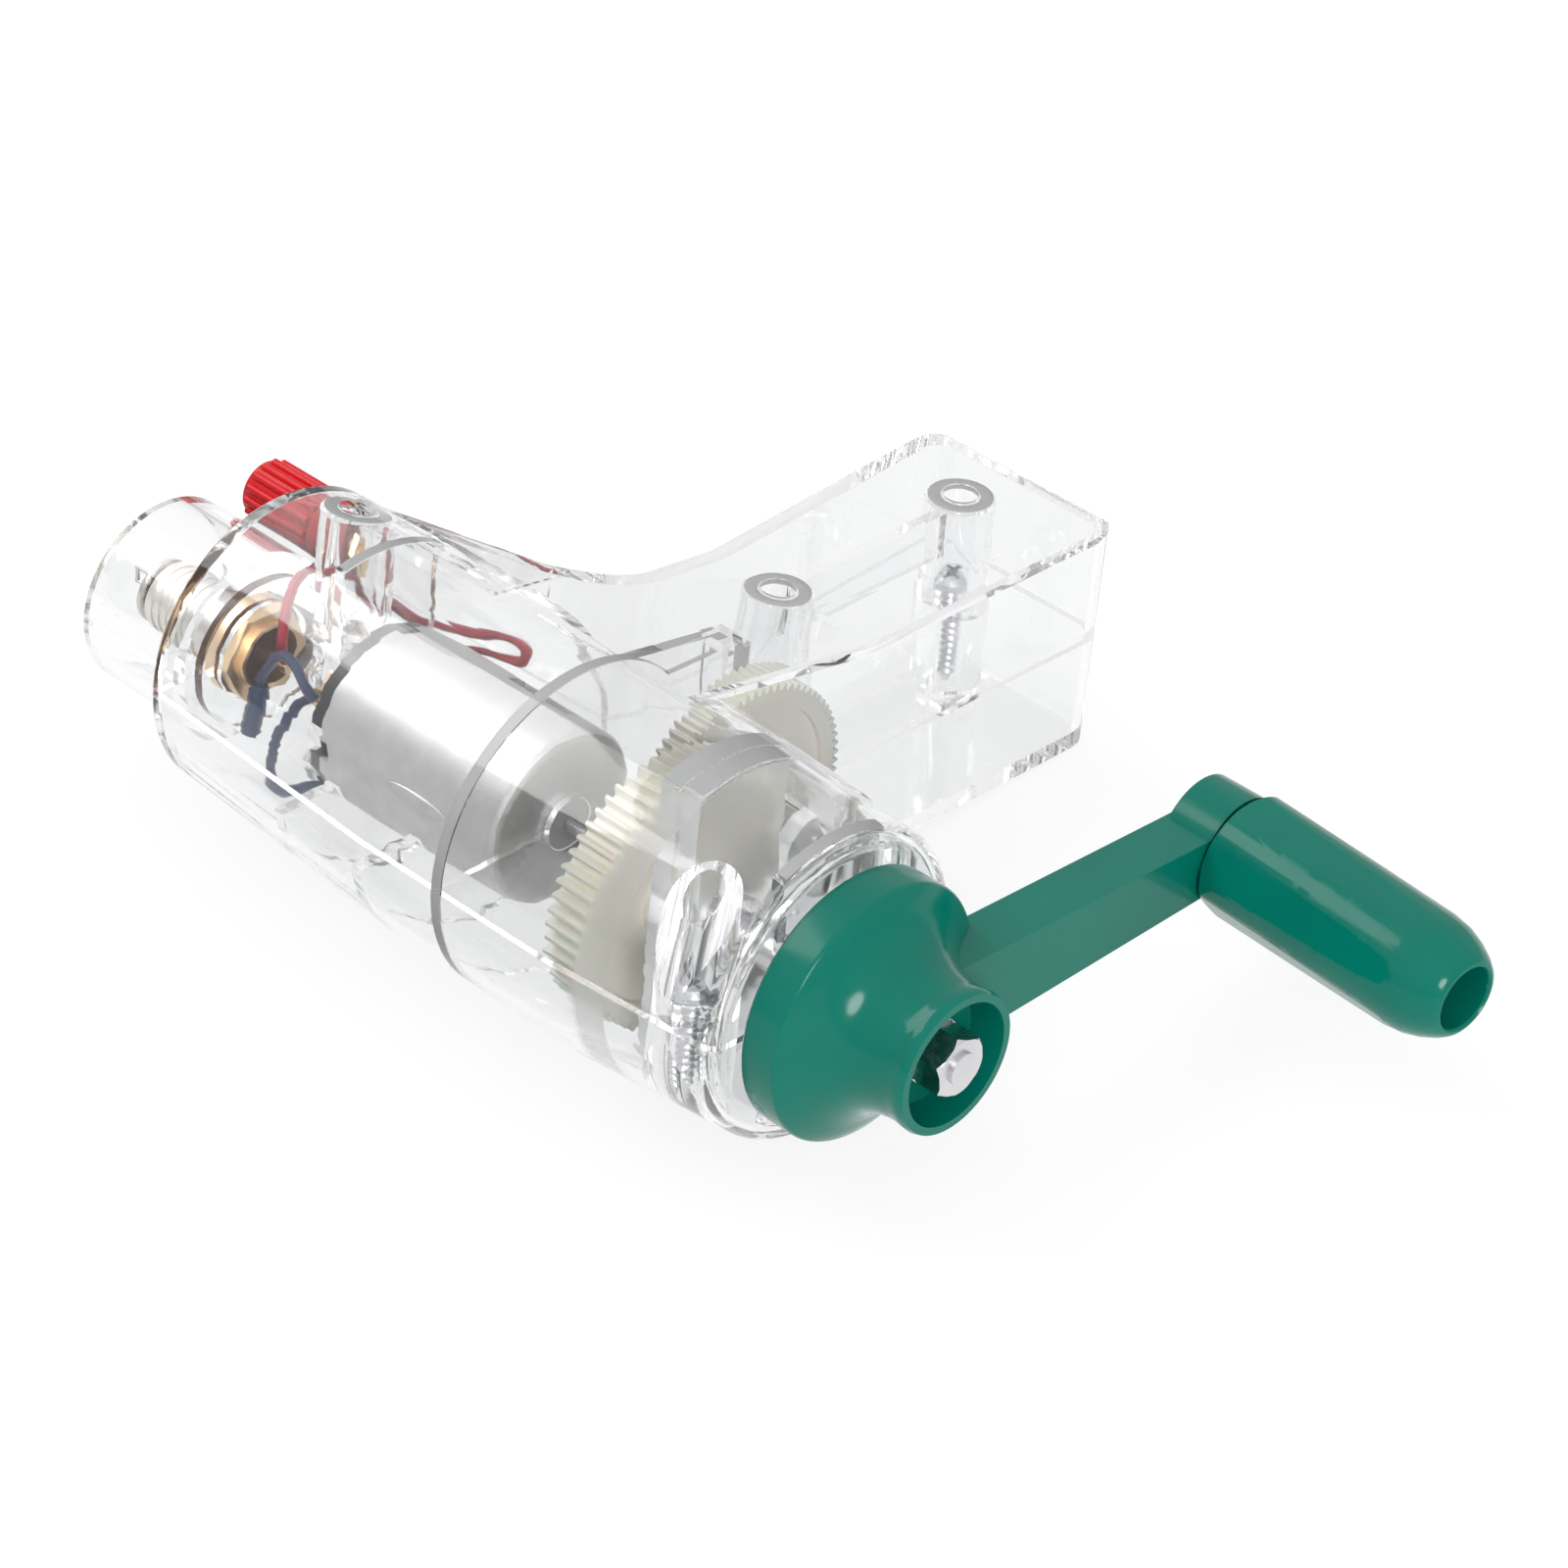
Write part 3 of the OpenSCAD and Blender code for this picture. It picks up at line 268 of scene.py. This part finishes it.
canSteel = metal("canSteel", (0.55, 0.545, 0.54), (0.48, 0.475, 0.47), 0.46, 0.06,
                 grain=2600, depth=0.000004)
yellowBrass = metal("yellowBrass", (0.86, 0.66, 0.44), (0.76, 0.55, 0.34), 0.36)
dullIron = metal("dullIron", (0.09, 0.09, 0.095), (0.05, 0.05, 0.055), 0.6)
nickelSilver = metal("nickelSilver", (0.66, 0.64, 0.60), (0.52, 0.50, 0.46), 0.22)
sleeveMetal = metal("socketMetal", (0.86, 0.66, 0.46), (0.76, 0.55, 0.36), 0.36, whiter=socketPlating)

rotorLook = {
    "sheets": 600,                      # waves per metre of the stacked iron
    "ironA": (0.45, 0.45, 0.46, 1),
    "ironB": (0.30, 0.30, 0.31, 1),
    "copper": (0.70, 0.28, 0.12, 1),
    "copperFrom": -0.0345,
    "copperTo": -0.0340,
}


def rotorMix():
    # laminated iron with a copper commutator behind it
    mat, tree, shader = newMaterial("rotorIron", (0.4, 0.4, 0.41), 0.4, Metallic=1.0)
    coords = tree.nodes.new("ShaderNodeTexCoord")
    wave = tree.nodes.new("ShaderNodeTexWave")
    wave.inputs["Scale"].default_value = rotorLook["sheets"]
    tree.links.new(coords.outputs["Object"], wave.inputs["Vector"])
    sheets = remap(tree, wave.outputs["Fac"], 0, 1, 0.2, 0.8)
    tone = mixColours(tree, sheets, rotorLook["ironA"], rotorLook["ironB"])
    rear = alongX(tree, coords.outputs["Object"], 1, 0, rotorLook["copperFrom"], rotorLook["copperTo"])
    tree.links.new(mixColours(tree, rear, tone, rotorLook["copper"]), shader.inputs["Base Color"])
    tree.links.new(remap(tree, objectNoise(tree, 500), 0.3, 0.5), shader.inputs["Roughness"])
    return mat


rotorIron = rotorMix()
print("materials ready")


# pieces dressed from the CAD solids

dressing = {
    "merge": 0.000002,        # points closer than this become one
    "flat": 0.6,              # degrees between faces that are joined
    "bevelFrom": 40,          # degrees at an edge that is rounded
    "onSeam": 0.00001,        # how near the parting plane a point counts as on it
}


def openSeam(piece, seam):
    # the two halves of the housing stop a hair short of each other
    up = (toRow(0, 0, 1000) - toRow(0, 0, 0)).normalized()
    level = toRow(0, 0, 0).dot(up)
    for v in piece.data.vertices:
        if abs(v.co.dot(up) - level) < dressing["onSeam"]:
            v.co += up * seam


def dressed(name, node, body, slot, material, bevel, seam=0.0):
    piece = bpy.data.objects.new(name, nodes[node].data.copy())
    bpy.context.scene.collection.objects.link(piece)
    pickOnly(piece)
    bpy.ops.object.mode_set(mode="EDIT")
    bpy.ops.mesh.select_all(action="SELECT")
    bpy.ops.mesh.customdata_custom_splitnormals_clear()
    bpy.ops.mesh.remove_doubles(threshold=dressing["merge"])
    bpy.ops.mesh.dissolve_limited(angle_limit=math.radians(dressing["flat"]))
    bpy.ops.object.mode_set(mode="OBJECT")
    if seam:
        openSeam(piece, seam)
    if bevel:
        applyModifier(piece, "BEVEL", width=bevel, segments=2, limit_method="ANGLE",
                      angle_limit=math.radians(dressing["bevelFrom"]),
                      harden_normals=False, use_clamp_overlap=True)
    smoothShade(piece)
    wear(piece, material, body, (node,))


housingLook = {"bevel": 0.00007, "seam": 0.000012}
dressed("housingUpperHalf", "housing_upper", "housing", "clear_plastic", clearShell,
        housingLook["bevel"], housingLook["seam"])
dressed("housingLowerHalf", "housing_lower", "housing", "clear_plastic", clearShell,
        housingLook["bevel"], -housingLook["seam"])
print("housing dressed")

innerPieces = [
    # name, node, body, slot, material, bevel in metres
    ("housingScrews", "housing_screws", "housing", "plated_steel", platedSteel, 0.00008),
    ("crankShaft", "crank_shaft", "crank", "plated_steel", platedSteel, 0.0001),
    ("shaftCollar", "shaft_collar", "crank", "plated_steel", platedSteel, 0.0001),
    ("crankGear", "crank_gear", "crank", "cream_nylon", creamNylon, 0.00006),
    ("crankArm", "crank", "crank", "green_plastic", tealPlastic, 0.0004),
    ("crankWasher", "crank_washer", "crank", "plated_steel", platedSteel, 0.0001),
    ("crankNut", "crank_nut", "crank", "plated_steel", platedSteel, 0.0002),
    ("handlePin", "handle_pin", "crank", "plated_steel", platedSteel, 0.0001),
    ("handleRetainer", "handle_retainer", "crank", "plated_steel", platedSteel, 0.0001),
    ("handleGrip", "handle_grip", "handle", "green_plastic", tealPlastic, 0.0003),
    ("idlerAxle", "idler_axle", "housing", "plated_steel", platedSteel, 0.00008),
    ("idlerGear", "idler_gear", "idler", "cream_nylon", creamNylon, 0.00005),
    ("motorCan", "motor_can", "housing", "plated_steel", canSteel, 0.00025),
    ("motorMagnets", "motor_magnets", "housing", "magnet", dullIron, 0.0001),
    ("motorEndbell", "motor_endbell", "housing", "black_plastic", blackPlastic, 0.0001),
    ("motorTerminals", "motor_terminals", "housing", "brass", yellowBrass, 0.00005),
    ("motorRotor", "motor_rotor", "rotor", "rotor_core", rotorIron, 0.0001),
    ("motorPinion", "motor_pinion", "rotor", "cream_nylon", creamNylon, 0.00004),
    ("bulbGlobe", "bulb_glass", "housing", "lamp_glass", lampGlass, 0.0),
    ("bulbFilament", "bulb_filament", "housing", "filament", nickelSilver, 0.00003),
    ("bulbBase", "bulb_base", "housing", "brass", nickelSilver, 0.00005),
    ("bulbContact", "bulb_contact", "housing", "black_plastic", blackPlastic, 0.00005),
    ("lampSocket", "lamp_socket", "housing", "brass", sleeveMetal, 0.00008),
    ("lampSocketNut", "lamp_socket_nut", "housing", "brass", yellowBrass, 0.0001),
    ("lampInsulator", "lamp_insulator", "housing", "brown_fibre", brownFibre, 0.0001),
    ("lampSpring", "lamp_spring", "housing", "brass", yellowBrass, 0.00005),
]
for row in innerPieces:
    dressed(*row)

for colour, plastic in (("Red", redPlastic), ("Black", blackPlastic)):
    low = colour.lower()
    dressed(f"post{colour}Base", f"post_{low}_base", "housing", f"{low}_plastic", plastic, 0.0002)
    dressed(f"post{colour}Stud", f"post_{low}_stud", "housing", "brass", yellowBrass, 0.0001)
    dressed(f"post{colour}Knob", f"post_{low}_knob", f"{low}_knob", f"{low}_plastic", plastic, 0.00015)
    dressed(f"post{colour}Nut", f"post_{low}_nut", "housing", "brass", yellowBrass, 0.0001)
    dressed(f"post{colour}Lug", f"post_{low}_lug", "housing", "brass", yellowBrass, 0.00005)

wires = [
    ("wireRedLamp", "wire_red_lamp", "red_wire", crimsonSleeve),
    ("wireRedMotor", "wire_red_motor", "red_wire", crimsonSleeve),
    ("wireBlueLamp", "wire_blue_lamp", "blue_wire", slateSleeve),
    ("wireBluePost", "wire_blue_post", "blue_wire", slateSleeve),
    ("wireSleeve", "wire_sleeve", "blue_wire", slateSleeve),
]
for name, node, slot, material in wires:
    dressed(name, node, "housing", slot, material, 0.0)
print("inner pieces dressed")


# notches and vent flap of the motor can

canMarks = {
    "notches": [                      # centre and size, metres
        ((-0.0462, -0.0519, 0.0270), (0.0062, 0.004, 0.0034)),
        ((-0.0462, -0.0350, 0.0404), (0.0062, 0.0034, 0.004)),
    ],
    "flapAt": (-0.0245, -0.05165, 0.0283),
    "flapSize": (0.0062, 0.0006, 0.0015),
}


def notchCan(can):
    for centre, size in canMarks["notches"]:
        bpy.ops.mesh.primitive_cube_add(size=1, location=centre)
        cutter = bpy.context.object
        cutter.scale = size
        settle(cutter)
        applyModifier(can, "BOOLEAN", operation="DIFFERENCE", solver="EXACT", object=cutter)
        bpy.data.objects.remove(cutter, do_unlink=True)
    smoothShade(can)


def makeFlap():
    bpy.ops.mesh.primitive_uv_sphere_add(segments=32, ring_count=16, radius=1,
                                         location=canMarks["flapAt"])
    flap = bpy.context.object
    flap.name = "motorCanFlap"
    flap.scale = canMarks["flapSize"]
    settle(flap)
    smoothShade(flap)
    wear(flap, canSteel, "housing")


notchCan(bpy.data.objects["motorCan"])
makeFlap()
print("motor can marked")


# grey strips along the edges of the ribs, seen through the clear skin: painted shade for the grey that
# clear edges show; millimetres and degrees from the crank's zero

edgeThick = 0.00012      # metres
ribEdges = [
    # name, from, to, radius, first and last angle
    ("ribEdgeBulkhead", 4.2, 6.0, 24.9, 45, 236),
    ("ribEdgeBearing", 30.1, 33.4, 24.9, 62, 109),
    ("ribEdgeBearingStep", 33.6, 36.9, 24.7, 66, 107),
    ("ribEdgeFront", 53.5, 55.2, 22.8, 67, 114),
    ("ribEdgeStop", -38.9, -37.1, 23.7, 58, 102),
]
roofEdge = {"at": (5.1, 23.6, 17.4), "length": 0.0120, "width": 0.0018}
screwRingLook = {"across": 0.0041, "thick": 0.001, "flat": 0.12}
screwRings = [
    # name, place of the column, height and lean of the ring
    ("screwRingInner", 0, 46.7, 18.0, 0),
    ("screwRingOuter", -1.8, 89, 18.0, 0),
    ("screwRingTail", -49.3, 8, 22.6, 18.7),
]


def ribStrip(name, xFrom, xTo, radius, first, last):
    # an open tube about the crank axis, cut down to the rib's arc
    bpy.ops.mesh.primitive_cylinder_add(vertices=180, radius=radius / 1000, depth=(xTo - xFrom) / 1000,
                                        end_fill_type="NOTHING", location=toRow((xFrom + xTo) / 2, 0, 0),
                                        rotation=(0, math.radians(90), 0))
    strip = bpy.context.object
    strip.name = name
    settle(strip)
    bpy.ops.object.mode_set(mode="EDIT")
    bpy.ops.mesh.select_mode(type="FACE")
    bpy.ops.mesh.select_all(action="DESELECT")
    bpy.ops.object.mode_set(mode="OBJECT")
    for face in strip.data.polygons:
        y = face.center.y - place["axisY"]
        z = face.center.z - place["axisZ"]
        angle = math.degrees(math.atan2(z, y) + place["tilt"]) % 360
        face.select = not first < angle < last
    bpy.ops.object.mode_set(mode="EDIT")
    bpy.ops.mesh.delete(type="FACE")
    bpy.ops.object.mode_set(mode="OBJECT")
    applyModifier(strip, "SOLIDIFY", thickness=edgeThick, offset=0)
    smoothShade(strip)
    wear(strip, edgeShadeGrey, "housing")


def roofStrip():
    # the bulkhead's edge under the flat side of the grip
    bpy.ops.mesh.primitive_cube_add(size=1, location=toRow(*roofEdge["at"]),
                                    rotation=(-place["tilt"], 0, 0))
    strip = bpy.context.object
    strip.name = "ribEdgeRoof"
    strip.scale = (roofEdge["width"], roofEdge["length"], edgeThick)
    settle(strip)
    wear(strip, edgeShadeGrey, "housing")


def screwRing(name, x, y, z, lean):
    bpy.ops.mesh.primitive_torus_add(major_segments=64, minor_segments=8,
                                     major_radius=screwRingLook["across"],
                                     minor_radius=screwRingLook["thick"], location=toRow(x, y, z),
                                     rotation=(-place["tilt"] - math.radians(lean), 0, 0))
    ring = bpy.context.object
    ring.name = name
    ring.scale = (1, 1, screwRingLook["flat"])
    settle(ring)
    smoothShade(ring)
    wear(ring, edgeShadeGrey, "housing")


# painted shade strips along the rib edges, under the roof and round the screw columns
for row in ribEdges:
    ribStrip(*row)
roofStrip()
for row in screwRings:
    screwRing(*row)
print("matt edges made")


# the camera stands where the photo was taken from

cameraLook = {
    "location": (0.43396, -0.47392, 0.49392),
    "turn": (53.4749, -1.7926, 43.8915),      # degrees
    "lens": 124.7096,
    "sensor": 36,
    "sees": (0.01, 20),                       # nearest and farthest, metres
}
bpy.ops.object.camera_add(location=cameraLook["location"],
                          rotation=[math.radians(a) for a in cameraLook["turn"]])
photoCamera = bpy.context.object
photoCamera.name = "photoCamera"
photoCamera.data.lens = cameraLook["lens"]
photoCamera.data.sensor_width = cameraLook["sensor"]
photoCamera.data.clip_start, photoCamera.data.clip_end = cameraLook["sees"]
bpy.context.scene.camera = photoCamera


# table, sky and lamps

tableLook = {
    "size": 12,
    "under": -0.0002,         # just under the part
    "colour": (0.93, 0.93, 0.93),
    "rough": 0.85,
    "gloss": 0.1,
    "glow": 0.84,             # share of plain white where the table is looked at
}
skyLook = {
    "strength": 1.08,
    "horizon": (0.50, 0.50, 0.505, 1),
    "middle": (0.74, 0.74, 0.745, 1),
    "top": (0.92, 0.92, 0.92, 1),
    "middleAt": 0.30,
    "topAt": 0.75,
}
lamps = [
    # name, place, target, size, watts, shape
    ("bigSoftbox", (-0.85, -0.30, 1.05), (0.0, -0.02, 0.02), (1.0, 0.55), 7.5, "RECTANGLE"),
    ("frontFill", (1.05, -0.62, 0.62), (0.02, -0.02, 0.02), (0.5, 0.5), 10.0, "DISK"),
]


def makeTable():
    bpy.ops.mesh.primitive_plane_add(size=tableLook["size"], location=(0, 0, tableLook["under"]))
    table = bpy.context.object
    table.name = "tableTop"
    mat, tree, shader = newMaterial("paleTable", tableLook["colour"], tableLook["rough"],
                                    Specular_IOR_Level=tableLook["gloss"])
    glow = tree.nodes.new("ShaderNodeEmission")
    glow.inputs["Color"].default_value = (1, 1, 1, 1)
    path = tree.nodes.new("ShaderNodeLightPath")
    seen = path.outputs["Is Camera Ray"]
    for ray in ("Is Transmission Ray", "Is Glossy Ray"):
        seen = maths(tree, "MAXIMUM", seen, path.outputs[ray])["Value"]
    seen = maths(tree, "MULTIPLY", seen, tableLook["glow"])["Value"]
    mixShaders(tree, seen, shader.outputs["BSDF"], glow.outputs["Emission"])
    table.data.materials.append(mat)


def makeSky():
    world = bpy.data.worlds.new("studioSky")
    bpy.context.scene.world = world
    world.use_nodes = True
    tree = world.node_tree
    coords = tree.nodes.new("ShaderNodeTexCoord")
    split = tree.nodes.new("ShaderNodeSeparateXYZ")
    tree.links.new(coords.outputs["Generated"], split.inputs["Vector"])
    ramp = tree.nodes.new("ShaderNodeValToRGB")
    horizon, top = ramp.color_ramp.elements
    horizon.position, top.position = 0.0, skyLook["topAt"]
    horizon.color, top.color = skyLook["horizon"], skyLook["top"]
    ramp.color_ramp.elements.new(skyLook["middleAt"]).color = skyLook["middle"]
    tree.links.new(split.outputs["Z"], ramp.inputs["Fac"])
    back = tree.nodes["Background"]
    back.inputs["Strength"].default_value = skyLook["strength"]
    tree.links.new(ramp.outputs["Color"], back.inputs["Color"])


def softLamp(name, location, target, size, power, shape):
    bpy.ops.object.light_add(type="AREA", location=location)
    lamp = bpy.context.object
    lamp.name = name
    lamp.data.shape = shape
    lamp.data.size, lamp.data.size_y = size
    lamp.data.energy = power
    aim = Vector(target) - Vector(location)
    lamp.rotation_euler = aim.to_track_quat("-Z", "Y").to_euler()


makeTable()
makeSky()
for row in lamps:
    softLamp(*row)

scene = bpy.context.scene
scene.view_settings.view_transform = "Standard"
scene.cycles.max_bounces = 48
scene.cycles.transmission_bounces = 48
scene.cycles.glossy_bounces = 48      # reflections inside the clear walls count here
scene.cycles.transparent_max_bounces = 24
scene.cycles.caustics_refractive = False
scene.cycles.caustics_reflective = False
print("stage and lamps ready")
